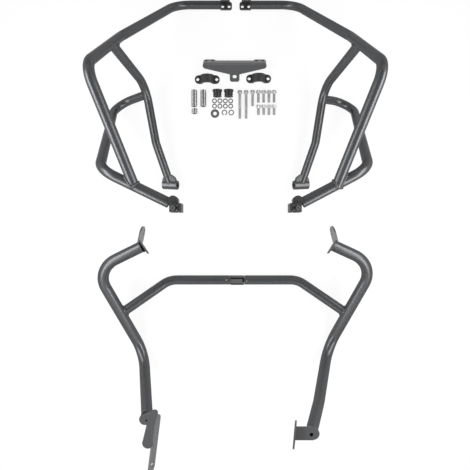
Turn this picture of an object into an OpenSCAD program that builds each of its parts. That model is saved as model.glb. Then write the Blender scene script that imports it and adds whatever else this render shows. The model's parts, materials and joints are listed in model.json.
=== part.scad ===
// Motorcycle crash bar set, laid out on the floor as separate pieces.
// Units are millimetres. X runs to the right, Y to the far side, Z up.

/* [Tubes] */
// Outside diameter of the upper frame tubes
upper_tube_diameter = 22.2; // [20:0.1:24]
// Outside diameter of the lower main tubes
lower_tube_diameter = 28.6; // [26:0.1:30]
// Outside diameter of the lower cross tubes
cross_tube_diameter = 25.4; // [22:0.1:27]
// Wall thickness of all the tubes
tube_wall = 2; // [1.5:0.1:3]

/* [Upper frames] */
// Height of the corner where the main tube turns at its outer end
crown_height = 415; // [330:5:440]
// Height of the far ends of the main tube and the side tube
side_height = 335; // [300:5:350]
// Length of the bush
bush_length = 42; // [36:1:50]
// Outside diameter of the bush
bush_diameter = 25; // [22:0.5:30]
// Bore of the bush
bush_bore = 12; // [8:0.5:14]
// Upward tilt of the inner end of the bush
bush_tilt = 15; // [0:1:20]

/* [Clamps] */
// Bore of the split clamps
clamp_bore = 14; // [12:0.5:15]
// Gap between the clamp body and its loose cap
clamp_gap = 3; // [2:0.5:5]
// Width of the clamps along their bore
clamp_width = 18; // [17.5:0.5:20]

/* [Lower pair] */
// Thickness of the end plates and foot plates
plate_thickness = 4; // [3:0.5:6]
// Diameter of the mounting holes in the feet
foot_hole = 11; // [8:0.5:12]

/* [Bracket and fasteners] */
// Spacing of the paired holes in the bracket and in the bar ends
pair_spacing = 18; // [17:0.5:20]
// Diameter of the clearance holes
clear_hole = 9; // [8.4:0.1:10]
// Length of the two long spacers
spacer_length = 45; // [40:1:50]
// Shank diameter of the bolts
bolt_diameter = 8; // [6:0.5:8]

/* [Hidden] */
$fn = 48;

// straight runs are this much fatter than the bends they hold, which makes one clean solid
grow = 0.1;
// length that a bend reaches into the straight run beside it
lap = 0.5;
// overshoot of a cutting shape past the face it cuts
over = 1;

powder = [0.30, 0.31, 0.32];
cast_black = [0.12, 0.12, 0.13];
bright = [0.75, 0.76, 0.78];
rubber = [0.08, 0.08, 0.08];

// moves the whole layout so that its footprint is centred on the origin
layout_shift = [-0.8, -25.6, 0];
// gap left between the two mirrored frames, beside the centre line
frame_gap = 4;

upper_rest = upper_tube_diameter / 2 + grow;
cross_rest = cross_tube_diameter / 2 + grow;
bush_rest = bush_diameter / 2 * cos(bush_tilt) + bush_length / 2 * sin(bush_tilt);
foot_z = 137;
tab_z = 205;

// centre lines of the left upper frame, given by their corner points
main_path = [[-42.5, 638.5, upper_rest], [-163.5, 638.5, upper_rest], [-269.9, 469, 203],
    [-285.3, 325.5, crown_height], [-208.5, 101.5, side_height]];
main_radii = [60, 60, 46];
// the brace and the side tube of the right frame are bent a little differently
brace_end = [[-214.5, 250, 40], [-178, 138.5, bush_rest]];
left_brace_path = concat([[-276.2, 429, 260], [-241, 401.5, 50]], brace_end);
right_brace_path = concat([[-276.2, 429, 260], [-236.5, 396.5, 50]], brace_end);
brace_radii = [60, 60];
side_radii = [40, 50];
side_end = [-136, 66.5, side_height];
left_side_path = [[-237, 382, 41], [-339.3, 364.5, -11.5], [-281, 137, side_height], side_end];
right_side_path = [[-233, 368, 42], [-331.4, 375.6, -26.3], [-275.5, 139.5, side_height], side_end];

// centre lines of the lower pair
left_lower_path = [[-234.5, -29, 130], [-356.5, -88, 115], [-255, -328.5, 0.8],
    [-219.5, -458, foot_z]];
left_lower_radii = [65, 70];
right_lower_path = [[243, -24, 130], [358, -75.5, 115], [260, -314, -0.3],
    [211.5, -421.5, 130], [179.5, -469.5, tab_z]];
right_lower_radii = [65, 70, 70];
cross_y = -124.5;
sleeve_left = -11.5;
sleeve_right = 24.5;
sleeve_end_gap = 1.5;
left_cross_path = [[-305.5, -210.5, 54], [-181.5, cross_y, cross_rest],
    [sleeve_left, cross_y, cross_rest]];
right_cross_path = [[303, -212.5, 46.5], [173.5, cross_y, cross_rest],
    [sleeve_right + sleeve_end_gap, cross_y, cross_rest]];
cross_radii = [60];

function unit(v) = v / norm(v);
function leg(p, i) = p[i + 1] - p[i];
function turn(p, i) = acos(unit(leg(p, i - 1)) * unit(leg(p, i)));
function cut_back(p, r, i) =
    i == 0 || i == len(p) - 1 ? 0 : r[i - 1] * tan(turn(p, i) / 2);
function inward(u, v) = unit(v - (u * v) * u);
function sideways(u) = abs(u[2]) < 0.9 ? unit(cross(u, [0, 0, 1])) : unit(cross(u, [1, 0, 0]));
function place(x, z, o) = let(y = cross(z, x))
    [[x[0], y[0], z[0], o[0]], [x[1], y[1], z[1], o[1]],
    [x[2], y[2], z[2], o[2]], [0, 0, 0, 1]];

// runs its children along the line from a to b, with z on the line
module along(a, b) {
    u = unit(b - a);
    multmatrix(place(sideways(u), u, a)) children();
}

module rod(a, b, d, extra = 0) {
    along(a, b) translate([0, 0, -extra]) cylinder(h = norm(b - a) + 2 * extra, d = d);
}

module ring_profile(d, w) {
    difference() {
        circle(d = d);
        if (w > 0.5) circle(d = d - 2 * w);
    }
}

// tube through the corner points p, with a bend of radius r at each inner corner
// or a solid bar of the same shape when the wall w is zero
module bent_tube(p, r, d, w) {
    for (i = [0 : len(p) - 2]) {
        u = unit(leg(p, i));
        multmatrix(place(sideways(u), u, p[i] + u * cut_back(p, r, i)))
            linear_extrude(height = norm(leg(p, i)) - cut_back(p, r, i) - cut_back(p, r, i + 1))
                ring_profile(d + 2 * grow, w + 2 * grow);
    }
    for (i = [1 : len(p) - 2]) {
        u = unit(leg(p, i - 1));
        x = inward(u, unit(leg(p, i)));
        e = lap / r[i - 1] * 180 / PI;
        multmatrix(place(x, u, p[i] - u * cut_back(p, r, i) + x * r[i - 1]))
            rotate([90, 0, 0])
                rotate([0, 0, 180 - turn(p, i) - e])
                    rotate_extrude(angle = turn(p, i) + 2 * e)
                        translate([r[i - 1], 0]) ring_profile(d, w);
    }
}

// upper frame, left hand
upper_cut = upper_tube_diameter + 2 * grow;
bush_at = brace_end[1];
bush_turn = 4;
bush_axis = [cos(bush_tilt) * cos(bush_turn), -cos(bush_tilt) * sin(bush_turn), sin(bush_tilt)];
disc_at = [-126.5, 70.7];
disc_radius = upper_tube_diameter / 2 - 0.6;
disc_height = 26;

module bush_place() {
    translate(bush_at) rotate([0, 90 - bush_tilt, -bush_turn]) children();
}

module main_tube(side_path) color(powder) difference() {
    bent_tube(main_path, main_radii, upper_tube_diameter, tube_wall);
    bent_tube(side_path, side_radii, upper_tube_diameter, 0);
}

lug_length = 34;
lug_width = upper_tube_diameter - 1.6;
lug_rise = 1;
lug_thickness = 7;
lug_rim = 4.5;
lug_top = 19;
lug_corner = 6;
lug_hole_y = 636.5;
lug_end_x = main_path[0][0] + lug_length;

module end_lug() color(cast_black) {
    x0 = main_path[0][0];
    y0 = main_path[0][1];
    difference() {
        union() {
            translate([x0, y0, upper_rest]) rotate([0, 90, 0])
                cylinder(h = 5, d = upper_tube_diameter);
            translate([x0 + 2, y0 - lug_width / 2, lug_rise])
                cube([lug_length - 2 - lug_corner, lug_width, lug_thickness]);
            translate([x0 + 2, y0 - lug_width / 2 + lug_corner, lug_rise])
                cube([lug_length - 2, lug_width - 2 * lug_corner, lug_thickness]);
            for (s = [-1, 1])
                translate([lug_end_x - lug_corner, y0 + s * (lug_width / 2 - lug_corner), lug_rise])
                    cylinder(h = lug_thickness, r = lug_corner);
            translate([x0 + 2, y0 + lug_width / 2 - lug_rim, lug_rise])
                cube([lug_length - 2 - lug_corner, lug_rim, lug_top - lug_rise]);
        }
        for (i = [0, 1])
            translate([lug_end_x - 9 - i * pair_spacing + 1, lug_hole_y, 0])
                cylinder(h = lug_top, d = clear_hole);
    }
}

module brace_tube(brace_path) color(powder) difference() {
    bent_tube(brace_path, brace_radii, upper_tube_diameter, tube_wall);
    bent_tube(main_path, main_radii, upper_tube_diameter, 0);
    bush_place() cylinder(h = bush_length, d = bush_diameter, center = true);
}

module side_tube(side_path, brace_path) color(powder) difference() {
    bent_tube(side_path, side_radii, upper_tube_diameter, tube_wall);
    bent_tube(brace_path, brace_radii, upper_tube_diameter, 0);
    translate([disc_at[0], disc_at[1], clamp_z - disc_height])
        cylinder(h = 2 * disc_height, r = disc_radius);
    translate([clamp_x - clamp_back, clamp_y - clamp_width / 2, clamp_z - clamp_height])
        cube([clamp_back, clamp_width, 2 * clamp_height]);
}

module bush() color(powder) bush_place() difference() {
    cylinder(h = bush_length, d = bush_diameter, center = true);
    cylinder(h = bush_length + 2 * over, d = bush_bore, center = true);
}

web_thickness = 14;
web_reach = bush_diameter / 2 + 13;
web_corner = bush_diameter / 2 + 2;
web_foot = bush_length / 2 - 1.5;
web_waist = upper_tube_diameter / 2 + 0.4;
module bush_web() color(powder) difference() {
    back = unit(brace_end[0] - brace_end[1]);
    across = unit(bush_axis - (bush_axis * back) * back);
    multmatrix(place(across, cross(across, back), bush_at))
        translate([0, 0, -web_thickness / 2]) linear_extrude(height = web_thickness)
            polygon([[-web_waist, web_reach], [-web_foot, web_corner], [-web_foot, 0],
                [web_foot, 0], [web_foot, web_corner], [web_waist, web_reach]]);
    bush_place() cylinder(h = 2 * bush_length, d = bush_diameter, center = true);
    rod(brace_end[0], brace_end[1], upper_cut, 20);
}

clamp_x = -118;
clamp_y = 56;
clamp_z = side_height;
clamp_wall = 2.2;
screw_diameter = 5;
screw_head = 8.5;
screw_sink = 5.5;
screw_reach = 11;
screw_row = 4.4;
screw_drop = clamp_bore / 2 + 5.5;
clamp_height = 2 * (screw_drop + screw_head / 2 + 4.25);
clamp_top = clamp_z + clamp_height / 2;
clamp_back = clamp_bore / 2 + 8;
clamp_front = clamp_bore / 2 + clamp_wall;

module screw_places() {
    for (z = [clamp_z - screw_drop, clamp_z + screw_drop])
        for (y = [clamp_y - screw_row, clamp_y + screw_row])
            translate([clamp_x, y, z]) rotate([0, 90, 0]) children();
}

module clamp_bore_cut() {
    translate([clamp_x, clamp_y, clamp_z]) rotate([90, 0, 0])
        cylinder(h = clamp_width + 2 * over, d = clamp_bore, center = true);
}

lock_at = [-125.3, 54.5];
lock_head = 10;
lock_head_height = 6;
lock_diameter = 6;
lock_reach = 5;
module clamp_body() color(cast_black) difference() {
    union() {
        translate([disc_at[0], disc_at[1], clamp_z - disc_height / 2])
            cylinder(h = disc_height, r = disc_radius);
        translate([clamp_x - clamp_back, clamp_y - clamp_width / 2, clamp_z - clamp_height / 2])
            cube([clamp_back - clamp_gap / 2, clamp_width, clamp_height]);
    }
    clamp_bore_cut();
    screw_places() translate([0, 0, -screw_reach]) cylinder(h = 20, d = screw_diameter);
    translate([lock_at[0], lock_at[1], clamp_top - lock_reach])
        cylinder(h = 20, d = lock_diameter);
}

module clamp_cap() color(cast_black) difference() {
    translate([clamp_x + clamp_gap / 2, clamp_y - clamp_width / 2, clamp_z - clamp_height / 2])
        cube([clamp_front - clamp_gap / 2, clamp_width, clamp_height]);
    clamp_bore_cut();
    screw_places() cylinder(h = clamp_front + over, d = screw_diameter);
    screw_places() translate([0, 0, clamp_front - screw_sink])
        cylinder(h = screw_sink + over, d = screw_head);
}

module clamp_screws() color(bright) screw_places() difference() {
    union() {
        translate([0, 0, -screw_reach])
            cylinder(h = screw_reach + clamp_front - screw_sink, d = screw_diameter);
        translate([0, 0, clamp_front - screw_sink]) cylinder(h = 5, d = screw_head);
    }
    translate([0, 0, clamp_front - screw_sink + 2]) cylinder(h = 4, d = 4.6, $fn = 6);
}

module lock_screw() color(bright) translate([lock_at[0], lock_at[1], 0]) difference() {
    union() {
        translate([0, 0, clamp_top - lock_reach]) cylinder(h = lock_reach, d = lock_diameter);
        translate([0, 0, clamp_top]) cylinder(h = lock_head_height, d = lock_head);
    }
    translate([0, 0, clamp_top + 3]) cylinder(h = 5, d = 5.8, $fn = 6);
}

// lower pair
top_plate_at = [-230.5, -31.5];
top_plate_length = 38;
top_plate_height = 40;
top_plate_mid = 130;
top_plate_lean = 8;
top_plate_along = [-sin(33.7), cos(33.7), 0];
tongue_length = 42;
tongue_lean = 4;
tongue_along = [sin(12), cos(12), 0];
tongue_hole = 7;
tongue_hole_pitch = 9.5;
tongue_hole_drop = 10;
tongue_hole_from_tip = 10;

// frame of an end plate: x along its foot, z up its leaning face, y into the tube
module top_plate_place() {
    away = cross(top_plate_along, [0, 0, 1]);
    up = sin(top_plate_lean) * away + [0, 0, cos(top_plate_lean)];
    multmatrix(place(top_plate_along, up, [top_plate_at[0], top_plate_at[1], top_plate_mid]))
        children();
}

module top_plate_shape() {
    top_plate_place()
        translate([-top_plate_length / 2, -plate_thickness, -top_plate_height / 2])
            cube([top_plate_length, plate_thickness, top_plate_height]);
    outward = cross([0, 0, 1], tongue_along);
    up = sin(tongue_lean) * outward + [0, 0, cos(tongue_lean)];
    start = [top_plate_at[0], top_plate_at[1], top_plate_mid]
        + top_plate_along * (top_plate_length / 2 - plate_thickness);
    straight = tongue_length - top_plate_height / 2;
    multmatrix(place(tongue_along, cross(tongue_along, up), start)) difference() {
        union() {
            translate([0, -top_plate_height / 2, -plate_thickness / 2])
                cube([straight, top_plate_height, plate_thickness]);
            translate([straight, 0, -plate_thickness / 2])
                cylinder(h = plate_thickness, d = top_plate_height);
        }
        for (i = [0, 1])
            translate([tongue_length - tongue_hole_from_tip - i * tongue_hole_pitch,
                -tongue_hole_drop, -plate_thickness])
                cylinder(h = 2 * plate_thickness, d = tongue_hole);
    }
}
right_plate_at = [246, -31, 0];
right_plate_turn = 2;
module right_plate_place() {
    translate(right_plate_at) rotate([0, 0, right_plate_turn]) mirror([1, 0, 0])
        translate([-top_plate_at[0], -top_plate_at[1], 0]) children();
}

// everything on the plate's far side from the tube
module top_plate_side() {
    reach = 2 * lower_tube_diameter;
    top_plate_place() translate([-reach, -reach, -reach]) cube([2 * reach, reach, 2 * reach]);
}

// everything above the foot at the end of a lower tube
module above_foot(end) {
    reach = 2 * lower_tube_diameter;
    translate([end[0] - reach, end[1] - reach, end[2]]) cube([2 * reach, 2 * reach, reach]);
}

module left_lower_tube() color(powder) difference() {
    bent_tube(left_lower_path, left_lower_radii, lower_tube_diameter, tube_wall);
    top_plate_side();
    top_plate_shape();
    above_foot(left_lower_path[3]);
}

module right_lower_tube() color(powder) difference() {
    bent_tube(right_lower_path, right_lower_radii, lower_tube_diameter, tube_wall);
    right_plate_place() top_plate_side();
    right_plate_place() top_plate_shape();
    above_foot(right_lower_path[4]);
}

module left_cross_tube() color(powder) difference() {
    bent_tube(left_cross_path, cross_radii, cross_tube_diameter, tube_wall);
    bent_tube(left_lower_path, left_lower_radii, lower_tube_diameter, 0);
}

module right_cross_tube() color(powder) difference() {
    bent_tube(right_cross_path, cross_radii, cross_tube_diameter, tube_wall);
    bent_tube(right_lower_path, right_lower_radii, lower_tube_diameter, 0);
}

spigot_diameter = cross_tube_diameter - 2 * tube_wall - 2 * grow;
groove = 1.6;
groove_at = 3.6;
spigot_reach = 20;
spigot_wall = 3;
module joint_sleeve() color(powder)
    translate([sleeve_left, cross_y, cross_rest]) rotate([0, 90, 0]) difference() {
        cylinder(h = sleeve_right - sleeve_left, d = cross_tube_diameter);
        translate([0, 0, -over])
            cylinder(h = sleeve_right - sleeve_left + 2 * over, d = spigot_diameter);
        translate([-cross_tube_diameter, groove_at, -over])
            cube([cross_tube_diameter, groove, sleeve_right - sleeve_left + 2 * over]);
    }

module joint_spigot() color(cast_black)
    translate([sleeve_left - spigot_reach, cross_y, cross_rest]) rotate([0, 90, 0]) difference() {
        cylinder(h = sleeve_right - sleeve_left + 2 * spigot_reach, d = spigot_diameter - 0.04);
        translate([0, 0, -over])
            cylinder(h = sleeve_right - sleeve_left + 2 * spigot_reach + 2 * over,
                d = spigot_diameter - 2 * spigot_wall);
    }

module left_top_plate() color(powder) top_plate_shape();
module right_top_plate() color(powder) right_plate_place() top_plate_shape();

flange_width = 26;
flange_length = 147;
flange_lean = 67;
flange_heading = 7;
flange_hole_at = 127;
flange_start = [-197.5, -452];
flange_along = [-sin(flange_heading), -cos(flange_heading), 0];
// rounded corners of the left foot plate, each with its radius
foot_pads = [[-225, -460.5], [-200, -444.5], [-217.5, -519.5]];
foot_radii = [14, 8, 14];
foot_notch = [-221, -476];
foot_drain = [-221, -463];
drain_diameter = 5;

module foot_outline() {
    edge = foot_pads[1] - foot_pads[0];
    side = [-edge[1], edge[0]] / norm(edge);
    fold = [flange_along[0], flange_along[1]];
    for (i = [0 : 2])
        translate(foot_pads[i]) circle(r = foot_radii[i]);
    polygon([foot_pads[0] + foot_radii[0] * side, foot_pads[1] + foot_radii[1] * side,
        foot_pads[1] + [foot_radii[1], 0], flange_start + flange_width * fold,
        flange_start - (foot_pads[2][1] - flange_start[1]) * fold,
        foot_pads[2] - [0, foot_radii[2]], foot_pads[2] - [foot_radii[2], 0], foot_notch,
        foot_pads[0]]);
}

module left_foot_plate() color(powder) {
    difference() {
        translate([0, 0, foot_z]) linear_extrude(height = plate_thickness) foot_outline();
        translate([foot_drain[0], foot_drain[1], foot_z - over])
            cylinder(h = plate_thickness + 2 * over, d = drain_diameter);
    }
    out = [-flange_along[1], flange_along[0], 0];
    facing = out * sin(flange_lean) + [0, 0, cos(flange_lean)];
    multmatrix(place(flange_along, facing,
        [flange_start[0], flange_start[1], foot_z + plate_thickness]))
        translate([0, 0, -plate_thickness]) difference() {
            union() {
                translate([flange_width / 2, 0, 0])
                    cube([flange_length - flange_width, flange_width, plate_thickness]);
                for (x = [flange_width / 2, flange_length - flange_width / 2])
                    translate([x, flange_width / 2, 0])
                        cylinder(h = plate_thickness, r = flange_width / 2);
                translate([plate_thickness, 0, 0])
                    cube([flange_width, flange_width / 2, plate_thickness]);
            }
            translate([flange_hole_at, flange_width / 2, -over])
                cylinder(h = plate_thickness + 2 * over, d = foot_hole);
        }
}

tab_hole_at = [180.4, -469.5];
tab_hole = 9;
tab_pad_at = [185.3, -467.2];
tab_radius = 14.2;
tab_near = 18.5;
tab_far = 13;
tab_left = 142;
upright_thickness = 4.5;
upright_at = [141.3, -470.2];
upright_lean = 9.5;
upright_turn = -4.9;
upright_length = 66;
upright_height = 40;
upright_hole_row = 19;

module right_foot_tab() color(powder) difference() {
    translate([0, 0, tab_z]) union() {
        translate([tab_left, tab_hole_at[1] - tab_far, 0])
            cube([tab_pad_at[0] - tab_left, tab_near + tab_far, plate_thickness]);
        translate([tab_pad_at[0], tab_pad_at[1], 0])
            cylinder(h = plate_thickness, r = tab_radius);
    }
    translate([tab_hole_at[0], tab_hole_at[1], tab_z - over])
        cylinder(h = plate_thickness + 2 * over, d = tab_hole);
    upright_place() translate([-upright_height, -upright_length, -upright_height])
        cube([2 * upright_height, 2 * upright_length, upright_height + upright_thickness]);
}

module upright_place() {
    translate([upright_at[0], upright_at[1], tab_z + plate_thickness / 2])
        rotate([0, -upright_lean, upright_turn])
            translate([-upright_thickness / 2, 0, 0]) rotate([0, 90, 0]) children();
}

module right_foot_plate() color(powder) upright_place() difference() {
    union() {
        translate([-upright_height / 2, -upright_length / 2 + upright_height / 2, 0])
            cube([upright_height, upright_length - upright_height, upright_thickness]);
        for (s = [-1, 1]) translate([0, s * (upright_length / 2 - upright_height / 2), 0])
            cylinder(h = upright_thickness, d = upright_height);
    }
    for (s = [-1, 1]) translate([0, s * upright_hole_row, -over])
        cylinder(h = upright_thickness + 2 * over, d = foot_hole);
}

// far edge of the plugs and of the first row of bolts, from which the loose parts are laid out
hardware_y = 402.5;

// centre bracket: a tapered plate that leans on its drilled top flange and its tab
bracket_x = -1;
bracket_half = 88;
bracket_fold_y = hardware_y + 69.5;
bracket_fold_z = 26;
bracket_slope = 26;
bracket_tip = 49.5;
tab_half = 13.5;
slot_at = 36;
slot_diameter = 8.4;
flange_slope = 51;
lobe_at = 69.5;
lobe_half = 17;
lobe_length = 30;
strip_length = 21;
lobe_hole_at = 19;
module bracket_web() {
    difference() {
        linear_extrude(height = plate_thickness) union() {
            for (s = [-1, 1]) {
                translate([s * (bracket_half - 8), -7]) circle(r = 8);
                translate([s * (tab_half - 6), -bracket_tip + 6]) circle(r = 6);
            }
            polygon([[-80, 1], [80, 1], [bracket_half, -6], [82.5, -14.6], [tab_half, -30],
                [tab_half, 6 - bracket_tip], [tab_half - 6, -bracket_tip],
                [6 - tab_half, -bracket_tip], [-tab_half, 6 - bracket_tip], [-tab_half, -30],
                [-82.5, -14.6], [-bracket_half, -6]]);
        }
        for (s = [-1, 1]) translate([s * 1.4, -slot_at, -over])
            cylinder(h = plate_thickness + 2 * over, d = slot_diameter);
        translate([-1.4, -slot_at - slot_diameter / 2, -over])
            cube([2.8, slot_diameter, plate_thickness + 2 * over]);
    }
}

module bracket_flange() {
    difference() {
        linear_extrude(height = plate_thickness) union() {
            translate([-80, -1]) square([160, strip_length + 1]);
            for (s = [-1, 1]) {
                translate([s * lobe_at - lobe_half, 0]) square([2 * lobe_half, lobe_length - 9]);
                for (t = [-1, 1])
                    translate([s * lobe_at + t * (lobe_half - 9), lobe_length - 9]) circle(r = 9);
                translate([s * lobe_at - lobe_half + 9, 0])
                    square([2 * lobe_half - 18, lobe_length]);
            }
        }
        for (s = [-1, 1])
            for (t = [-1, 1])
                translate([s * lobe_at + t * pair_spacing / 2, lobe_hole_at, -over])
                    cylinder(h = plate_thickness + 2 * over, d = clear_hole);
    }
}

module centre_bracket() color(powder)
    translate([bracket_x, bracket_fold_y, bracket_fold_z]) {
        rotate([bracket_slope, 0, 0]) translate([0, 0, -plate_thickness]) bracket_web();
        rotate([-flange_slope, 0, 0]) translate([0, 0, -plate_thickness]) bracket_flange();
    }

bridge_spacing = 53;
bridge_edge = 8.25;
bridge_length = bridge_spacing + 2 * bridge_edge;
bridge_width = 23;
bridge_ear = 6;
bridge_inner = lower_tube_diameter / 2;
bridge_outer = bridge_inner + 6;
module bridge_clamp(x, y) color(cast_black) translate([x, y, 0]) difference() {
    union() {
        for (s = [-1, 1]) translate([s * (bridge_length / 2 - bridge_width / 2), 0, 0])
            cylinder(h = bridge_ear, d = bridge_width);
        translate([-bridge_length / 2 + bridge_width / 2, -bridge_width / 2, 0])
            cube([bridge_length - bridge_width, bridge_width, bridge_ear]);
        rotate([90, 0, 0]) cylinder(h = bridge_width, r = bridge_outer, center = true);
    }
    rotate([90, 0, 0]) cylinder(h = bridge_width + 2 * over, r = bridge_inner, center = true);
    translate([-50, -50, -100]) cube([100, 100, 100]);
    for (s = [-1, 1]) translate([s * bridge_spacing / 2, 0, -over])
        cylinder(h = bridge_ear + 2 * over, d = clear_hole);
}

// fasteners
spacer_diameter = 17;
spacer_bore = 10.5;
short_spacer_length = 13;
module spacer(x, y, l) translate([x, y, spacer_diameter / 2]) rotate([90, 0, 0]) difference() {
    cylinder(h = l, d = spacer_diameter, center = true);
    cylinder(h = l + 2 * over, d = spacer_bore, center = true);
}

plug_flange = 27;
plug_flange_height = 5;
plug_body = 22.8;
plug_length = 14.5;
plug_rib = 24.2;
rib_width = 2;
rib_pitch = 5;
module tube_plug(x, y) {
    t = asin((plug_flange - plug_rib) / 2 / plug_length);
    translate([x, y, plug_flange / 2 * cos(t) + plug_flange_height * sin(t)])
        rotate([90 + t, 0, 0]) difference() {
            union() {
                cylinder(h = plug_flange_height, d = plug_flange);
                cylinder(h = plug_flange_height + plug_length, d = plug_body - 2);
                for (i = [0 : 2])
                    translate([0, 0, plug_flange_height + plug_length - rib_width - i * rib_pitch])
                        cylinder(h = rib_width, d = plug_rib);
            }
            translate([0, 0, plug_flange_height])
                cylinder(h = plug_length + over, d = plug_body - 8);
        }
}

washer_bore = 8.1;
washer_diameter = 13.6;
washer_pitch_x = 15.1;
washer_pitch_y = 14.6;
module washer(d, b, t) difference() {
    cylinder(h = t, d = d);
    translate([0, 0, -over]) cylinder(h = t + 2 * over, d = b);
}

// socket head bolt lying on the floor, resting on its head and on its tip
head_diameter = 13;
head_height = 8;
socket_width = 6.9;
tip_taper = 1;
module lying_bolt(x, y, l) {
    t = asin((head_diameter - bolt_diameter) / 2 / l);
    translate([x, y, head_diameter / 2 * cos(t) + head_height * sin(t)])
        rotate([90 + t, 0, 0]) difference() {
            union() {
                cylinder(h = head_height, d = head_diameter);
                cylinder(h = head_height + l - tip_taper, d = bolt_diameter);
                translate([0, 0, head_height + l - tip_taper])
                    cylinder(h = tip_taper, d1 = bolt_diameter, d2 = bolt_diameter - 2);
            }
            translate([0, 0, -over]) cylinder(h = 5, d = socket_width, $fn = 6);
        }
}

short_row = 40;
bolt_row_x = 65.3;
bolt_row_pitch = 14.6;

module laid() {
    translate(layout_shift) children();
}

module right_hand() {
    laid() translate([frame_gap, 0, 0]) mirror([1, 0, 0]) children();
}

laid() main_tube(left_side_path);  // left_main_tube
laid() end_lug();  // left_end_lug
laid() brace_tube(left_brace_path);  // left_brace_tube
laid() side_tube(left_side_path, left_brace_path);  // left_side_tube
laid() bush();  // left_bush
laid() bush_web();  // left_bush_web
laid() clamp_body();  // left_clamp_body
laid() clamp_cap();  // left_clamp_cap
laid() clamp_screws();  // left_clamp_screws
laid() lock_screw();  // left_lock_screw
right_hand() main_tube(right_side_path);  // right_main_tube
right_hand() end_lug();  // right_end_lug
right_hand() brace_tube(right_brace_path);  // right_brace_tube
right_hand()  // right_side_tube
    side_tube(right_side_path, right_brace_path);
right_hand() bush();  // right_bush
right_hand() bush_web();  // right_bush_web
right_hand() clamp_body();  // right_clamp_body
right_hand() clamp_cap();  // right_clamp_cap
right_hand() clamp_screws();  // right_clamp_screws
right_hand() lock_screw();  // right_lock_screw
laid() left_lower_tube();
laid() right_lower_tube();
laid() left_cross_tube();
laid() right_cross_tube();
laid() joint_sleeve();
laid() joint_spigot();
laid() left_top_plate();
laid() right_top_plate();
laid() left_foot_plate();
laid() right_foot_tab();
laid() right_foot_plate();
laid() centre_bracket();
laid() bridge_clamp(-77.5, hardware_y + 31.5);  // left_bridge_clamp
laid() bridge_clamp(66, hardware_y + 33.5);  // right_bridge_clamp
laid() color(bright) {  // long_spacers
    spacer(-113.5, hardware_y - spacer_length / 2, spacer_length);
    spacer(-88, hardware_y - spacer_length / 2, spacer_length);
}
laid() color(bright)  // short_spacer
    spacer(-112.5, hardware_y - spacer_length - short_spacer_length, short_spacer_length);
laid() color(rubber) {  // tube_plugs
    tube_plug(-49, hardware_y);
    tube_plug(-17.5, hardware_y);
}
laid() color(bright)  // lock_washers
    for (i = [0 : 3])
        for (j = [0, 1])
            translate([-57.3 + i * washer_pitch_x, hardware_y - 27.5 - j * washer_pitch_y, 0])
                washer(washer_diameter, washer_bore, 2);
laid() color(bright)  // large_washer
    translate([-56, hardware_y - 63, 0]) washer(24, 10.5, 3);
laid() color(bright)  // spring_washer
    translate([-29.5, hardware_y - 60, 0]) difference() {
        washer(15.6, 10.2, 2.5);
        translate([-2, -12, -over]) cube([4, 12, 5]);
    }
laid() color(bright)  // plain_ring
    translate([-10.5, hardware_y - 60, 0]) washer(15.6, 10.2, 2);
laid() color(bright) {  // long_bolts
    lying_bolt(13.5, hardware_y, 70);
    lying_bolt(31, hardware_y, 70);
}
laid() color(bright) lying_bolt(49, hardware_y, 35);  // middle_bolt
laid() color(bright)  // medium_bolts
    for (i = [0 : 3]) lying_bolt(bolt_row_x + i * bolt_row_pitch, hardware_y, 25);
laid() color(bright)  // short_bolts
    for (i = [0 : 3]) lying_bolt(bolt_row_x + i * bolt_row_pitch, hardware_y - short_row, 20);
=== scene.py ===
import json
import math

import bmesh
import bpy
from mathutils import Matrix, Vector
from mathutils.bvhtree import BVHTree


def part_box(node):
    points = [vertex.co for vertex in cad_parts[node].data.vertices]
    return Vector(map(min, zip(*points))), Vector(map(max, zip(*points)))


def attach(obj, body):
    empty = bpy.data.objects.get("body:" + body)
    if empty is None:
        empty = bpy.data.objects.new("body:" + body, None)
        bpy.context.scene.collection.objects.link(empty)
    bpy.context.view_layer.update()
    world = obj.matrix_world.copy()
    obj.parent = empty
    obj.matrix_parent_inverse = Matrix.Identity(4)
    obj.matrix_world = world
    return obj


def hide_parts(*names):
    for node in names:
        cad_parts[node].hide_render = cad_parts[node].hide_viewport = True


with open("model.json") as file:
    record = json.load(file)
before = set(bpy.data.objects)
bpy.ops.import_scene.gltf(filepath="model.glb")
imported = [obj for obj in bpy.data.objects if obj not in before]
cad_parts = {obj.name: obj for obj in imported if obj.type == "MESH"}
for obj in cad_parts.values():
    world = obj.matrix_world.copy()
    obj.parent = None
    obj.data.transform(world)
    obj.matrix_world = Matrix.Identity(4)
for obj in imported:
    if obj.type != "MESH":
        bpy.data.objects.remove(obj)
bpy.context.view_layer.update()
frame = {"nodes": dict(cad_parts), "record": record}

nodes = frame["nodes"]
slots = {part["node"]: part["material_slot"] for part in frame["record"]["subparts"]}

# Camera: it looks straight down, at the photograph's scale of 2.8 mm a pixel on the floor
IMAGE_PIXELS = 470
PIXEL_SIZE = 0.0028
VIEW_HEIGHT = 1.3
VIEW_CENTRE = (0.00298, -0.0256)
CENTRE_SHIFT = 1.35 / IMAGE_PIXELS
SENSOR = 36.0

# Studio light, by the height of its direction: 0 is the horizon and 1 is straight up
CEILING = [(0.0, 0.9), (0.10, 0.8), (0.32, 0.25), (1.0, 0.12)]
BAND = [(0.46, 0.0), (0.55, 1.0), (0.65, 1.0), (0.76, 0.0)]
BAND_ROUND = 1.0
BAND_SIDES = 2.0
BAND_AHEAD = -0.5
LAMP_X = 0.67
LAMP_Y = -0.15
LAMP_HEIGHT = 0.70
LAMP_LENGTH = 1.2
LAMP_WIDTH = 0.30
LAMP_POWER = 9.0
LAMP_TILT = 55.0

# Floor, in metres
FLOOR_REACH = 6.0
FLOOR_DROP = 0.0002
FLOOR_GREY = 0.8
FLOOR_GLOW = 0.9

LAYOUT = (-0.0008, -0.0256)

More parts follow.
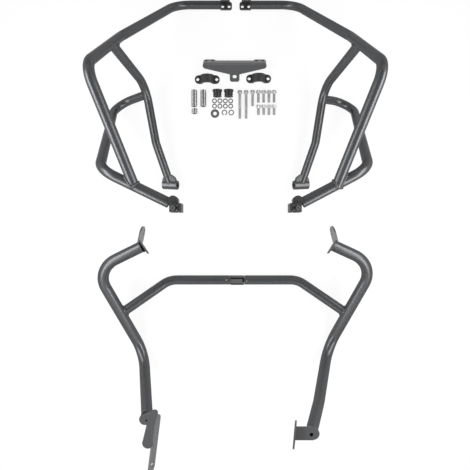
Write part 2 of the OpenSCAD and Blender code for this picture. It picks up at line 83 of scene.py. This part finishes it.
# Bolts, in metres: where each head's outer face lies, and the length of its shank
ROW = 0.4025
SHORT_ROW = 0.3625
FIRST_COLUMN = 0.0653
COLUMN_STEP = 0.0146
COLUMNS = [FIRST_COLUMN + COLUMN_STEP * i for i in range(4)]
BOLTS = {
    "long_bolts": [(0.0135, ROW, 0.070), (0.031, ROW, 0.070)],
    "middle_bolt": [(0.049, ROW, 0.035)],
    "medium_bolts": [(x, ROW, 0.025) for x in COLUMNS],
    "short_bolts": [(x, SHORT_ROW, 0.020) for x in COLUMNS],
}
HEAD_RADIUS = 0.0065
HEAD_HEIGHT = 0.008
SHANK_RADIUS = 0.004
THREADED_LENGTH = 0.028
THREAD_PITCH = 0.00125
THREAD_DEPTH = 0.0007
TIP_TAPER = 0.001
SOCKET_RADIUS = 0.00345
SOCKET_DEPTH = 0.004
KNURLS = 36
BOLT_SIDES = 2 * KNURLS
KNURL_DEPTH = 0.00022
KNURL_END = 0.0010
NECK = 0.0008
TIP_RADIUS = 0.0024
THREAD_STEPS = 6
THREAD_SLOPE = 1.3
THREAD_ROOT = 0.15
BOLT_MERGE = 1e-7

# Broken edges of a bolt, in metres: across it, and along it
SOCKET_EDGE = (0.0005, 0.0004)
FACE_EDGE = (0.0008, 0.0007)
SEAT_EDGE = (0.0004, 0.0008)

# The cross tubes' axis, as its y and z, and their radius, in metres
CROSS_AXIS = (-0.1501, 0.0128)
CROSS_RADIUS = 0.0128

# Plug welds on the cross tubes, in metres: the place along the tube, and degrees from the top
PLUG_WELDS = [(-0.0241, 4.0), (-0.0156, 61.0), (0.0314, -9.0)]
PLUG_RADIUS = 0.0021
PLUG_SINK = 0.0002
PLUG_FLATNESS = 0.42

# Painted shadows of the joint sleeve's slot gaps, as thin near-black strips, in metres, and their
# angles in degrees from the top
GAP_SHADOW_HEIGHT = 0.0008
GAP_SHADOW_STEPS = 10
GAP_SHADOW_END_WIDTH = 0.0036
LOW_GAP_SHADOW = (-95.0, -52.0)
HIGH_GAP_SHADOW = (21.0, 31.0)
END_GAP_SHADOW = (-24.0, 21.0)

# Caps of the tube ends, in metres, with the inset as a share of the radius
CAP_REACH = 0.024
CAP_RIM = 0.0135
CAP_INSET = 0.03
CAP_SINK = 0.0002
CAP_THICKNESS = 0.0015
CAP_BEAD = 0.0016
RIM_BEND = 40.0

# Weld beads, in metres; the swell is the bead's size at the low and the rise of a ripple
BEAD_RADIUS = 0.0030
SMALL_BEAD = 0.0022
BEAD_RIPPLE = 0.0032
BEAD_STEP = 0.0008
BEAD_SWELL = (0.86, 0.20)
BEAD_SIDES = 10
FEWEST_STEPS = 8
SHORTEST_CHAIN = 4
CLOSED_GAP = 0.004
SAME_POINT = 1e-5
NO_LENGTH = 1e-9

# Where two nodes meet: how near, how sharp in degrees, and when corners count as one
SEAM_REACH = 0.0004
SEAM_BEND = 25.0
SAME_CORNER = 2e-6

# The middle part of a noise, which is stretched over a whole range
NOISE_SPAN = (0.3, 0.7)

# The darker patches of plated steel, as a share of its tone
DULLED = 0.86


# Materials

def new_material(name):
    material = bpy.data.materials.new(name)
    material.use_nodes = True
    tree = material.node_tree
    return material, tree, tree.nodes["Principled BSDF"]


def add_node(tree, kind, **values):
    node = tree.nodes.new(kind)
    for key, value in values.items():
        if key in node.inputs:
            node.inputs[key].default_value = value
        else:
            setattr(node, key, value)
    return node


def noise(tree, place, scale, detail=3.0):
    node = add_node(tree, "ShaderNodeTexNoise", Scale=scale, Detail=detail, Roughness=0.55)
    tree.links.new(place, node.inputs["Vector"])
    return node.outputs["Fac"]


def remap(tree, value, low, high):
    """Stretches a noise over the range from low to high."""
    node = add_node(tree, "ShaderNodeMapRange")
    node.inputs["From Min"].default_value = NOISE_SPAN[0]
    node.inputs["From Max"].default_value = NOISE_SPAN[1]
    node.inputs["To Min"].default_value = low
    node.inputs["To Max"].default_value = high
    tree.links.new(value, node.inputs["Value"])
    return node.outputs["Result"]


def blend_colours(tree, factor, first, second):
    node = add_node(tree, "ShaderNodeMix", data_type="RGBA")
    for socket in node.inputs:
        if socket.name == "A" and socket.type == "RGBA":
            socket.default_value = (*first, 1)
        if socket.name == "B" and socket.type == "RGBA":
            socket.default_value = (*second, 1)
    tree.links.new(factor, node.inputs["Factor"])
    return [socket for socket in node.outputs if socket.type == "RGBA"][0]


def math_node(tree, operation, first, second, clamp=False):
    node = add_node(tree, "ShaderNodeMath", operation=operation, use_clamp=clamp)
    for socket, value in zip(node.inputs, (first, second)):
        if isinstance(value, (int, float)):
            socket.default_value = value
        else:
            tree.links.new(value, socket)
    return node.outputs[0]


def colour_by(tree, shader, pattern, dark, light):
    """Lets a noise vary the base colour between a dark and a light one."""
    colour = blend_colours(tree, remap(tree, pattern, 0.0, 1.0), dark, light)
    tree.links.new(colour, shader.inputs["Base Color"])


def roughness_by(tree, shader, pattern, low, high):
    """Lets a noise vary the roughness between two values."""
    tree.links.new(remap(tree, pattern, low, high), shader.inputs["Roughness"])


def add_bump(tree, shader, height, strength, distance):
    node = add_node(tree, "ShaderNodeBump", Strength=strength, Distance=distance)
    tree.links.new(height, node.inputs["Height"])
    tree.links.new(node.outputs["Normal"], shader.inputs["Normal"])


def powder_coat(name, dark, light, metal, rough):
    """Graphite powder coat: soft clouds, fine flakes, a faint orange peel and a satin sheen."""
    material, tree, shader = new_material(name)
    place = add_node(tree, "ShaderNodeTexCoord").outputs["Object"]
    clouds = noise(tree, place, scale=14.0)
    peel = noise(tree, place, scale=160.0, detail=2.0)
    flakes = noise(tree, place, scale=1100.0, detail=2.0)
    half_flakes = math_node(tree, "MULTIPLY", flakes, 0.5)
    half_clouds = math_node(tree, "MULTIPLY", clouds, 0.5)
    mottle = math_node(tree, "ADD", half_flakes, half_clouds)
    colour_by(tree, shader, mottle, dark, light)
    roughness_by(tree, shader, peel, low=rough - 0.02, high=rough + 0.02)
    shader.inputs["Metallic"].default_value = metal
    shader.inputs["Specular IOR Level"].default_value = 0.8
    if metal > 0.0:
        shader.inputs["Specular Tint"].default_value = (0.3, 0.3, 0.3, 1)
    add_bump(tree, shader, peel, strength=0.015, distance=0.0004)
    return material


def cast_black():
    """Black satin coat over cast and machined fittings."""
    material, tree, shader = new_material("cast_black")
    place = add_node(tree, "ShaderNodeTexCoord").outputs["Object"]
    grain = noise(tree, place, scale=1800.0, detail=2.0)
    clouds = noise(tree, place, scale=60.0)
    colour_by(tree, shader, clouds, dark=(0.016, 0.016, 0.017), light=(0.026, 0.026, 0.027))
    roughness_by(tree, shader, grain, low=0.42, high=0.54)
    add_bump(tree, shader, grain, strength=0.15, distance=0.0002)
    return material


def zinc_steel(name, tone, rough):
    """Plated steel with a fine grain."""
    material, tree, shader = new_material(name)
    place = add_node(tree, "ShaderNodeTexCoord").outputs["Object"]
    clouds = noise(tree, place, scale=120.0)
    grain = noise(tree, place, scale=3000.0, detail=2.0)
    dull = tuple(DULLED * level for level in tone)
    colour_by(tree, shader, clouds, dull, tone)
    roughness_by(tree, shader, grain, low=rough - 0.04, high=rough + 0.06)
    shader.inputs["Metallic"].default_value = 1.0
    add_bump(tree, shader, grain, strength=0.05, distance=0.0001)
    return material


def black_rubber():
    """Moulded black rubber with a slight gloss."""
    material, tree, shader = new_material("rubber")
    place = add_node(tree, "ShaderNodeTexCoord").outputs["Object"]
    grain = noise(tree, place, scale=1500.0)
    clouds = noise(tree, place, scale=80.0)
    colour_by(tree, shader, clouds, dark=(0.014, 0.014, 0.014), light=(0.024, 0.024, 0.024))
    roughness_by(tree, shader, grain, low=0.34, high=0.46)
    add_bump(tree, shader, grain, strength=0.2, distance=0.0003)
    return material


# Powder coats: the darkest and lightest colour, how metallic, and the roughness
POWDER_COATS = {
    "powder_coat": ((0.070, 0.072, 0.075), (0.086, 0.088, 0.092), 0.65, 0.32),
    # a lit copy of the tube coat for the flat steel: painted light
    "lit_plate_coat": ((0.046, 0.047, 0.049), (0.056, 0.057, 0.059), 0.0, 0.33),
    "web_coat": ((0.030, 0.031, 0.033), (0.038, 0.039, 0.041), 0.0, 0.55),
    "bare_weld": ((0.17, 0.17, 0.18), (0.22, 0.22, 0.23), 0.65, 0.40),
    # near-black coat of the sleeve strips: painted shadow of the sleeve's slot gaps
    "gap_shadow_black": ((0.003, 0.003, 0.003), (0.006, 0.006, 0.006), 0.9, 0.50),
}
materials = {name: powder_coat(name, *values) for name, values in POWDER_COATS.items()}
materials["cast_black"] = cast_black()
materials["zinc_steel"] = zinc_steel("zinc_steel", (0.52, 0.52, 0.53), 0.30)
materials["spigot_steel"] = zinc_steel("spigot_steel", (0.35, 0.35, 0.36), 0.35)
materials["rubber"] = black_rubber()


def paint(piece, material):
    """Gives a piece one material in place of what it had."""
    piece.data.materials.clear()
    piece.data.materials.append(materials[material])


def mesh_data(name, mesh, smooth=False):
    """Turns a working mesh into a mesh of the scene, and frees it."""
    data = bpy.data.meshes.new(name)
    mesh.to_mesh(data)
    mesh.free()
    if smooth:
        for face in data.polygons:
            face.use_smooth = True
    return data


def new_piece(name, mesh, slot):
    """A piece of the looks that rides on the part and stands for a material slot."""
    piece = bpy.data.objects.new(name, mesh)
    bpy.context.scene.collection.objects.link(piece)
    paint(piece, slot)
    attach(piece, "root")
    return piece


# Flat steel takes a lit copy of the tube coat, less metallic so its matt colour shows lighter, as
# painted light; the bush webs and the sleeve a matt one
COATS = {
    "centre_bracket": "lit_plate_coat",
    "left_foot_plate": "lit_plate_coat",
    "right_foot_plate": "lit_plate_coat",
    "right_foot_tab": "lit_plate_coat",
    "left_top_plate": "lit_plate_coat",
    "right_top_plate": "lit_plate_coat",
    "left_bush_web": "web_coat",
    "right_bush_web": "web_coat",
    "joint_sleeve": "web_coat",
}
for name, node in nodes.items():
    paint(node, COATS.get(name, slots[name]))


# Weld beads

def joined_mesh(node):
    """A copy of a node's mesh whose faces share their corner points."""
    mesh = bmesh.new()
    mesh.from_mesh(node.data)
    bmesh.ops.remove_doubles(mesh, verts=mesh.verts, dist=SAME_CORNER)
    return mesh


def edge_chains(edges):
    """Splits edges into chains of points that follow each other."""
    links = {}
    for edge in edges:
        for corner in edge.verts:
            links.setdefault(corner, []).append(edge)
    left = set(edges)
    chains = []
    for edge in edges:
        if edge not in left:
            continue
        left.discard(edge)
        chain = [edge.verts[0], edge.verts[1]]
        for end in (0, 1):
            while True:
                tip = chain[-1] if end == 0 else chain[0]
                ways = [e for e in links[tip] if e in left]
                if not ways:
                    break
                left.discard(ways[0])
                onward = ways[0].other_vert(tip)
                if end == 0:
                    chain.append(onward)
                else:
                    chain.insert(0, onward)
        chains.append([corner.co.copy() for corner in chain])
    return chains


def chain_length(chain):
    return sum((b - a).length for a, b in zip(chain, chain[1:]))


def seam(first, second):
    """The longest line of sharp edges of one node that lies on another node's surface."""
    mesh = joined_mesh(nodes[first])
    surface = joined_mesh(nodes[second])
    tree = BVHTree.FromBMesh(surface)
    near = {}
    for corner in mesh.verts:
        found = tree.find_nearest(corner.co, SEAM_REACH)
        near[corner] = found[0] is not None
    edges = [
        edge for edge in mesh.edges
        if near[edge.verts[0]] and near[edge.verts[1]] and len(edge.link_faces) == 2
        and edge.calc_face_angle(0.0) > math.radians(SEAM_BEND)
    ]
    chains = edge_chains(edges)
    mesh.free()
    surface.free()
    chains.sort(key=chain_length, reverse=True)
    return chains[0] if chains else []


def resample(chain, step, closed):
    """Points at an even spacing along a chain."""
    points = chain + [chain[0]] if closed else chain
    total = chain_length(points)
    count = max(FEWEST_STEPS, round(total / step))
    out = []
    walked = 0.0
    index = 0
    for i in range(count if closed else count + 1):
        target = total * i / count
        span = points[index + 1] - points[index]
        while index < len(points) - 2 and walked + span.length < target:
            walked += span.length
            index += 1
            span = points[index + 1] - points[index]
        share = (target - walked) / span.length if span.length > NO_LENGTH else 0.0
        out.append(points[index] + span * share)
    return out


def smooth_line(points, closed, passes=2):
    """Moves each point towards the middle of its neighbours."""
    for _ in range(passes):
        last = len(points) - 1
        smoothed = []
        for i, point in enumerate(points):
            if not closed and i in (0, last):
                smoothed.append(point)
            else:
                smoothed.append((points[i - 1] + 2 * point + points[(i + 1) % len(points)]) / 4)
        points = smoothed
    return points


def bead_mesh(name, points, closed, radius):
    """A rippled bead that runs along the points."""
    mesh = bmesh.new()
    sides = BEAD_SIDES
    low, rise = BEAD_SWELL
    count = len(points)
    rings = []
    normal = None
    for i, point in enumerate(points):
        before = points[i - 1] if closed or i > 0 else point
        after = points[(i + 1) % count] if closed or i < count - 1 else point
        along = (after - before).normalized()
        if normal is None:
            normal = along.orthogonal().normalized()
        normal = (normal - along * normal.dot(along)).normalized()
        across = along.cross(normal)
        wave = (i * BEAD_STEP / BEAD_RIPPLE) % 1.0
        size = radius * (low + rise * math.sin(math.pi * wave))
        ring = []
        for s in range(sides):
            angle = math.tau * s / sides
            out = math.cos(angle) * normal + math.sin(angle) * across
            ring.append(mesh.verts.new(point + size * out))
        rings.append(ring)
    for i in range(count if closed else count - 1):
        here, there = rings[i], rings[(i + 1) % count]
        shift = 0
        if closed and i == count - 1:
            shift = min(range(sides), key=lambda k: (here[0].co - there[k].co).length)
        for s in range(sides):
            t = (s + 1) % sides
            far, near = there[(t + shift) % sides], there[(s + shift) % sides]
            mesh.faces.new((here[s], here[t], far, near))
    if not closed:
        mesh.faces.new(list(reversed(rings[0])))
        mesh.faces.new(rings[-1])
    bmesh.ops.recalc_face_normals(mesh, faces=mesh.faces)
    return mesh_data(name, mesh, smooth=True)


def weld(first, second, radius=BEAD_RADIUS):
    """A bead along the line where the first node meets the second."""
    chain = seam(first, second)
    if len(chain) < SHORTEST_CHAIN:
        print("no seam between", first, "and", second)
        return
    gap = (chain[0] - chain[-1]).length
    closed = gap < CLOSED_GAP
    if gap < SAME_POINT:
        chain = chain[:-1]
    points = smooth_line(resample(chain, BEAD_STEP, closed), closed)
    name = "weld_" + first + "_" + second
    new_piece(name, bead_mesh(name, points, closed, radius), "powder_coat")


for side in ("left", "right"):
    weld(side + "_brace_tube", side + "_main_tube")
    weld(side + "_side_tube", side + "_brace_tube")
    weld(side + "_main_tube", side + "_side_tube")
    weld(side + "_brace_tube", side + "_bush", SMALL_BEAD)
    weld(side + "_cross_tube", side + "_lower_tube")
weld("right_lower_tube", "right_foot_tab", SMALL_BEAD)


# Caps in the tube ends that the plates leave open

def end_cap(name, node, bend, end):
    """A cap that closes a tube's end, from the tube's own rim, and the ring weld round it.

    Bend and end are two points of the tube's axis.
    """
    mesh = joined_mesh(nodes[node])
    bend, end = Vector(bend), Vector(end)
    along = (end - bend).normalized()
    side = along.orthogonal().normalized()
    other = along.cross(side)
    rim = {}
    for edge in mesh.edges:
        if len(edge.link_faces) != 2 or edge.calc_face_angle(0.0) < math.radians(RIM_BEND):
            continue
        for corner in edge.verts:
            arm = corner.co - end
            across = arm - along * arm.dot(along)
            if arm.length < CAP_REACH and across.length > CAP_RIM:
                angle = round(math.atan2(across.dot(other), across.dot(side)), 2)
                inset = corner.co - across * CAP_INSET - along * CAP_SINK
                rim.setdefault(angle, (corner.co.copy(), inset))
    mesh.free()
    edge_line = [rim[angle][0] for angle in sorted(rim)]
    points = smooth_line(resample(edge_line, BEAD_STEP, True), True)
    bead = bead_mesh("weld_" + name, points, True, CAP_BEAD)
    new_piece("weld_" + name, bead, "powder_coat")
    loop = [rim[angle][1] for angle in sorted(rim)]
    cap = bmesh.new()
    middle = sum(loop, Vector()) / len(loop)
    layers = []
    for depth in (0.0, CAP_THICKNESS):
        hub = cap.verts.new(middle - along * depth)
        layers.append((hub, [cap.verts.new(point - along * depth) for point in loop]))
    front, back = layers[0][1], layers[1][1]
    for i in range(len(loop)):
        j = (i + 1) % len(loop)
        for hub, ring in layers:
            cap.faces.new((hub, ring[i], ring[j]))
        cap.faces.new((front[i], back[i], back[j], front[j]))
    bmesh.ops.recalc_face_normals(cap, faces=cap.faces)
    new_piece(name, mesh_data(name, cap), "powder_coat")


# The tubes' axes near their ends, as in the source
CAPS = [
    ("left_top_cap", "left_lower_tube", (-0.3573, -0.1136, 0.1150), (-0.2353, -0.0546, 0.1300)),
    ("right_top_cap", "right_lower_tube", (0.3572, -0.1011, 0.1150), (0.2422, -0.0496, 0.1300)),
    ("left_foot_cap", "left_lower_tube", (-0.2558, -0.3541, 0.0008), (-0.2203, -0.4836, 0.1370)),
]
for cap in CAPS:
    end_cap(*cap)


# Plug welds, and painted shadows of the sleeve's slot gaps, on the cross tubes

def from_top(x, degrees, radius):
    """A point at a radius round the cross tubes' axis."""
    angle = math.radians(degrees)
    out = Vector((0, math.sin(angle), math.cos(angle)))
    return Vector((x, *CROSS_AXIS)) + out * radius


def plug_weld(name, x, degrees):
    """A low round dimple where a hole in the cross tube was filled."""
    mesh = bmesh.new()
    bmesh.ops.create_uvsphere(mesh, u_segments=20, v_segments=10, radius=PLUG_RADIUS)
    place = Matrix.Translation(from_top(x, degrees, CROSS_RADIUS - PLUG_SINK))
    turn = Matrix.Rotation(-math.radians(degrees), 4, "X")
    flat = Matrix.Diagonal((1, 1, PLUG_FLATNESS, 1))
    bmesh.ops.transform(mesh, matrix=place @ turn @ flat, verts=mesh.verts)
    paint(new_piece(name, mesh_data(name, mesh, smooth=True), "powder_coat"), "bare_weld")


def sleeve_gap_shadow(name, ends, angles):
    """A thin near-black strip on the joint sleeve, a painted shadow of its slot gap, between two
    places along it and two angles.
    """
    mesh = bmesh.new()
    first, last = ends
    low, high = CROSS_RADIUS - GAP_SHADOW_HEIGHT, CROSS_RADIUS + GAP_SHADOW_HEIGHT
    corners = [(first, low), (first, high), (last, high), (last, low)]
    rings = []
    for i in range(GAP_SHADOW_STEPS + 1):
        angle = angles[0] + (angles[1] - angles[0]) * i / GAP_SHADOW_STEPS
        rings.append([mesh.verts.new(from_top(x, angle, radius)) for x, radius in corners])
    for here, there in zip(rings, rings[1:]):
        for s in range(4):
            t = (s + 1) % 4
            mesh.faces.new((here[s], here[t], there[t], there[s]))
    mesh.faces.new(list(reversed(rings[0])))
    mesh.faces.new(rings[-1])
    bmesh.ops.recalc_face_normals(mesh, faces=mesh.faces)
    # painted shadow: the strip takes a near-black coat
    paint(new_piece(name, mesh_data(name, mesh), "powder_coat"), "gap_shadow_black")


for index, (x, degrees) in enumerate(PLUG_WELDS):
    plug_weld("plug_weld_%d" % (index + 1), x, degrees)

sleeve_low, sleeve_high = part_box("joint_sleeve")
sleeve_start, sleeve_end = sleeve_low[0], sleeve_high[0]
# Painted shadows of the sleeve's slot gaps, along its low and high edge and across its end
sleeve_gap_shadow("sleeve_gap_shadow_low", (sleeve_start, sleeve_end), LOW_GAP_SHADOW)
sleeve_gap_shadow("sleeve_gap_shadow_high", (sleeve_start, sleeve_end), HIGH_GAP_SHADOW)
sleeve_gap_shadow("sleeve_gap_shadow_end", (sleeve_end - GAP_SHADOW_END_WIDTH, sleeve_end), END_GAP_SHADOW)


# Bolts

def thread_radius(turns):
    """The thread's radius at a height given in turns of the thread."""
    share = turns % 1.0
    rise = 1.0 - abs(2.0 * share - 1.0)
    depth = min(1.0, max(0.0, THREAD_SLOPE * rise - THREAD_ROOT))
    return SHANK_RADIUS - THREAD_DEPTH * depth


def bolt_rows(length):
    """Rows of points from the bottom of the socket, over the head, down to the tip."""
    full = HEAD_HEIGHT + length
    start = max(HEAD_HEIGHT + NECK, full - THREADED_LENGTH)
    rows = [
        ("hex", 0.0, SOCKET_DEPTH),
        ("hex", SOCKET_RADIUS, SOCKET_DEPTH),
        ("hex", SOCKET_RADIUS, SOCKET_EDGE[1]),
        ("round", SOCKET_RADIUS + SOCKET_EDGE[0], 0.0),
        ("round", HEAD_RADIUS - FACE_EDGE[0], 0.0),
        ("round", HEAD_RADIUS - KNURL_DEPTH, FACE_EDGE[1]),
        ("knurl", HEAD_RADIUS, KNURL_END),
        ("knurl", HEAD_RADIUS, HEAD_HEIGHT - KNURL_END),
        ("round", HEAD_RADIUS - KNURL_DEPTH, HEAD_HEIGHT - SEAT_EDGE[1]),
        ("round", HEAD_RADIUS - SEAT_EDGE[0], HEAD_HEIGHT),
        ("round", SHANK_RADIUS, HEAD_HEIGHT),
        ("round", SHANK_RADIUS, start),
    ]
    steps = int((full - start) / (THREAD_PITCH / THREAD_STEPS))
    for i in range(1, steps + 1):
        rows.append(("thread", None, start + (full - start) * i / steps))
    rows += [("round", TIP_RADIUS, full), ("round", 0.0, full)]
    return rows


def row_reach(kind, radius, z, s, full):
    """How far point s of a row lies from the bolt's axis."""
    if kind == "hex":
        face = math.radians(60)
        angle = math.tau * s / BOLT_SIDES
        return radius * math.cos(face / 2) / math.cos(angle % face - face / 2)
    if kind == "knurl":
        return radius - KNURL_DEPTH * (s % 2)
    if kind == "thread":
        reach = thread_radius(z / THREAD_PITCH - s / BOLT_SIDES)
        past = z - full + TIP_TAPER
        return min(reach, SHANK_RADIUS - past) if past > 0 else reach
    return radius


def bolt_mesh(mesh, x, y, length):
    """A socket head bolt that lies on its head and on its tip."""
    tilt = math.asin((HEAD_RADIUS - SHANK_RADIUS) / length)
    height = HEAD_RADIUS * math.cos(tilt) + HEAD_HEIGHT * math.sin(tilt)
    place = Matrix.Translation((x + LAYOUT[0], y + LAYOUT[1], height))
    place = place @ Matrix.Rotation(math.radians(90) + tilt, 4, "X")
    full = HEAD_HEIGHT + length
    rings = []
    for kind, radius, z in bolt_rows(length):
        ring = []
        for s in range(BOLT_SIDES):
            angle = math.tau * s / BOLT_SIDES
            reach = row_reach(kind, radius, z, s, full)
            point = Vector((reach * math.cos(angle), reach * math.sin(angle), z))
            ring.append(mesh.verts.new(place @ point))
        rings.append(ring)
    for here, there in zip(rings, rings[1:]):
        for s in range(BOLT_SIDES):
            t = (s + 1) % BOLT_SIDES
            mesh.faces.new((here[s], here[t], there[t], there[s]))


def bolt_piece(node):
    """The bolts that stand in for a node's plain solids."""
    mesh = bmesh.new()
    for x, y, length in BOLTS[node]:
        bolt_mesh(mesh, x, y, length)
    bmesh.ops.remove_doubles(mesh, verts=mesh.verts, dist=BOLT_MERGE)
    bmesh.ops.recalc_face_normals(mesh, faces=mesh.faces)
    name = "threaded_" + node
    piece = new_piece(name, mesh_data(name, mesh), "zinc_steel")
    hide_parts(node)


for node in BOLTS:
    bolt_piece(node)


# Floor, lights and camera

def mix_shaders(tree, share, first, second):
    """Mixes two shaders by a number or by a node's output."""
    node = add_node(tree, "ShaderNodeMixShader")
    if isinstance(share, float):
        node.inputs[0].default_value = share
    else:
        tree.links.new(share, node.inputs[0])
    tree.links.new(first, node.inputs[1])
    tree.links.new(second, node.inputs[2])
    return node.outputs[0]


def add_floor():
    mesh = bmesh.new()
    square = ((-1, -1), (1, -1), (1, 1), (-1, 1))
    mesh.faces.new([
        mesh.verts.new((x * FLOOR_REACH, y * FLOOR_REACH, -FLOOR_DROP)) for x, y in square])
    floor = bpy.data.objects.new("floor", mesh_data("floor", mesh))
    bpy.context.scene.collection.objects.link(floor)
    material, tree, shader = new_material("white_floor")
    tree.nodes.remove(shader)
    grey = (FLOOR_GREY, FLOOR_GREY, FLOOR_GREY, 1)
    matt = add_node(tree, "ShaderNodeBsdfDiffuse", Color=grey).outputs[0]
    glow = add_node(tree, "ShaderNodeEmission", Strength=1.0).outputs[0]
    ray = add_node(tree, "ShaderNodeLightPath").outputs
    seen = math_node(tree, "MAXIMUM", ray["Is Camera Ray"], ray["Is Glossy Ray"])
    seen = math_node(tree, "MAXIMUM", seen, ray["Is Transmission Ray"])
    white = mix_shaders(tree, FLOOR_GLOW, matt, glow)
    surface = mix_shaders(tree, seen, matt, white)
    tree.links.new(surface, tree.nodes["Material Output"].inputs["Surface"])
    floor.data.materials.append(material)


def ramp(tree, value, stops):
    """A grey ramp through (position, level) stops."""
    node = tree.nodes.new("ShaderNodeValToRGB")
    marks = node.color_ramp.elements
    while len(marks) < len(stops):
        marks.new(1.0)
    for mark, (position, level) in zip(marks, stops):
        mark.position = position
        mark.color = (level, level, level, 1)
    tree.links.new(value, node.inputs["Fac"])
    return node.outputs["Color"]


def add_world():
    """A dim ceiling over a low bright band of soft light, strongest at the sides and in front."""
    world = bpy.data.worlds.new("studio")
    bpy.context.scene.world = world
    world.use_nodes = True
    tree = world.node_tree
    direction = add_node(tree, "ShaderNodeTexCoord").outputs["Generated"]
    parts = tree.nodes.new("ShaderNodeSeparateXYZ")
    tree.links.new(direction, parts.inputs[0])
    x, y, z = parts.outputs
    ceiling = ramp(tree, z, CEILING)
    band = ramp(tree, z, BAND)
    aside = math_node(tree, "ABSOLUTE", x, 0.0)
    ahead = math_node(tree, "MULTIPLY", y, BAND_AHEAD)
    weight = math_node(tree, "ADD", aside, ahead, clamp=True)
    extra = math_node(tree, "MULTIPLY", weight, BAND_SIDES)
    power = math_node(tree, "ADD", extra, BAND_ROUND)
    glow = math_node(tree, "MULTIPLY", band, power)
    strength = math_node(tree, "ADD", ceiling, glow)
    background = tree.nodes["Background"]
    background.inputs["Color"].default_value = (1, 1, 1, 1)
    tree.links.new(strength, background.inputs["Strength"])


def add_lamp(name, side):
    light = bpy.data.lights.new(name, "AREA")
    light.shape = "RECTANGLE"
    light.size = LAMP_WIDTH
    light.size_y = LAMP_LENGTH
    light.energy = LAMP_POWER
    item = bpy.data.objects.new(name, light)
    item.location = (side * LAMP_X, LAMP_Y, LAMP_HEIGHT)
    item.rotation_euler = (0, side * math.radians(LAMP_TILT), 0)
    item.visible_camera = False
    bpy.context.scene.collection.objects.link(item)


def add_camera():
    """A camera straight above, shifted a little to the side as in the photograph."""
    data = bpy.data.cameras.new("camera")
    data.sensor_width = SENSOR
    data.lens = SENSOR * VIEW_HEIGHT / (IMAGE_PIXELS * PIXEL_SIZE)
    data.shift_x = -CENTRE_SHIFT
    data.clip_end = 50.0
    item = bpy.data.objects.new("camera", data)
    item.location = (*VIEW_CENTRE, VIEW_HEIGHT)
    bpy.context.scene.collection.objects.link(item)
    bpy.context.scene.camera = item


add_floor()
add_world()
add_lamp("left_lamp", -1)
add_lamp("right_lamp", 1)
add_camera()

scene = bpy.context.scene
scene.view_settings.view_transform = "Standard"
